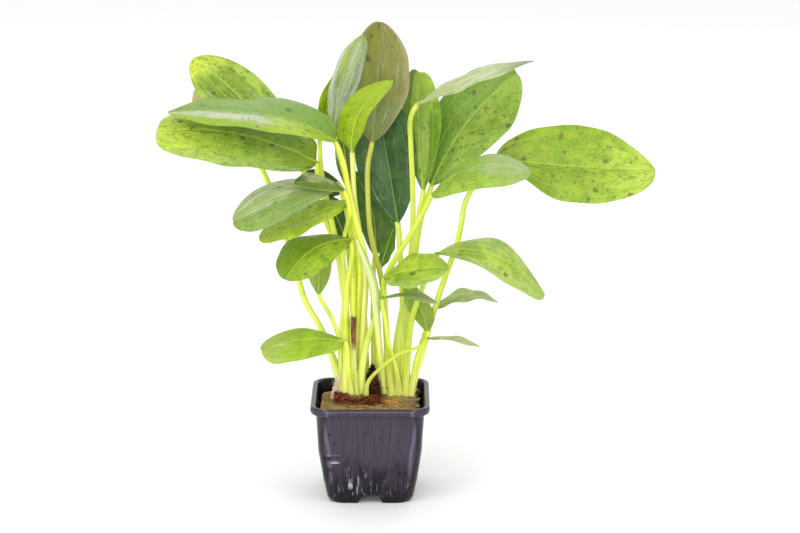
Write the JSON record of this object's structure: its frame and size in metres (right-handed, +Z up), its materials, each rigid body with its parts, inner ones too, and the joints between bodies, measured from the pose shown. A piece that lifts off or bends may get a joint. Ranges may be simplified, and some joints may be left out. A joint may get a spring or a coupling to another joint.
{
  "type": "potted echinodorus plant",
  "caption": "Leafy aquarium plant with oval spotted leaves on long upright stems, rooted in a wool plug in a square black plastic pot with notched feet.",
  "frame": {"origin": "middle of the pot's base, at the level of its feet", "axes": "+Z up, +X to the right and -Y towards the viewer of the front, square with the pot's sides"},
  "size_m": [0.2266, 0.0821, 0.2232],
  "materials": {
    "pot_plastic": "glossy black",
    "wool": "matt fibrous",
    "peat": "matt crumbly",
    "root": "matt fibrous",
    "dead_stem": "dry",
    "stem": "waxy satin",
    "young_leaf": "waxy satin",
    "leaf_lime": "satin",
    "leaf_green": "satin",
    "leaf_dark": "satin",
    "leaf_silver": "satin",
    "leaf_olive": "satin"
  },
  "bodies": {
    "root": {"leaf_low_left": "leaf_lime", "stem_low_left": "stem", "leaf_mid_left_front": "leaf_green", "stem_mid_left_front": "stem", "leaf_silver_left": "leaf_silver", "stem_silver_left": "stem", "leaf_bright_left": "leaf_lime", "stem_bright_left": "stem", "leaf_small_dark_left": "leaf_dark", "leaf_big_left_low": "leaf_lime", "stem_big_left_low": "stem", "leaf_upper_left": "leaf_green", "stem_upper_left": "stem", "leaf_upper_left_back": "leaf_lime", "stem_upper_left_back": "stem", "leaf_brown_left_back": "leaf_olive", "stem_brown_left_back": "stem", "leaf_silver_upright": "leaf_silver", "stem_silver_upright": "stem", "leaf_small_lime": "leaf_lime", "stem_small_lime": "stem", "leaf_lime_behind": "leaf_lime", "stem_lime_behind": "stem", "leaf_top_olive": "leaf_olive", "stem_top_olive": "stem", "leaf_dark_centre": "leaf_dark", "stem_dark_centre": "stem", "leaf_tall_right": "leaf_green", "stem_tall_right": "stem", "leaf_large_right_back": "leaf_green", "stem_large_right_back": "stem", "leaf_silver_top_right": "leaf_silver", "stem_silver_top_right": "stem", "leaf_front_right": "leaf_lime", "stem_front_right": "stem", "leaf_big_right": "leaf_lime", "stem_big_right": "stem", "leaf_drooping_right": "leaf_green", "stem_drooping_right": "stem", "leaf_front_centre_right": "leaf_green", "stem_front_centre_right": "stem", "leaf_thin_centre": "leaf_green", "leaf_small_right": "leaf_green", "stem_small_right": "stem", "leaf_lowest_right": "leaf_green", "leaf_upright_right": "leaf_green", "leaf_dark_behind_centre": "leaf_dark", "stem_dark_behind_centre": "stem", "leaf_young_centre": "leaf_dark", "leaf_underside_left": "leaf_green", "leaf_dark_left_back": "leaf_dark", "leaf_dark_upright_back": "leaf_dark", "stem_dark_upright_back": "stem", "leaf_dark_behind_left": "leaf_dark", "leaf_furled": "young_leaf", "stem_dead_stub": "dead_stem", "pot": "pot_plastic", "wool_plug": "wool", "rootstock": "peat", "root_tuft": "root"}
  },
  "joints": []
}
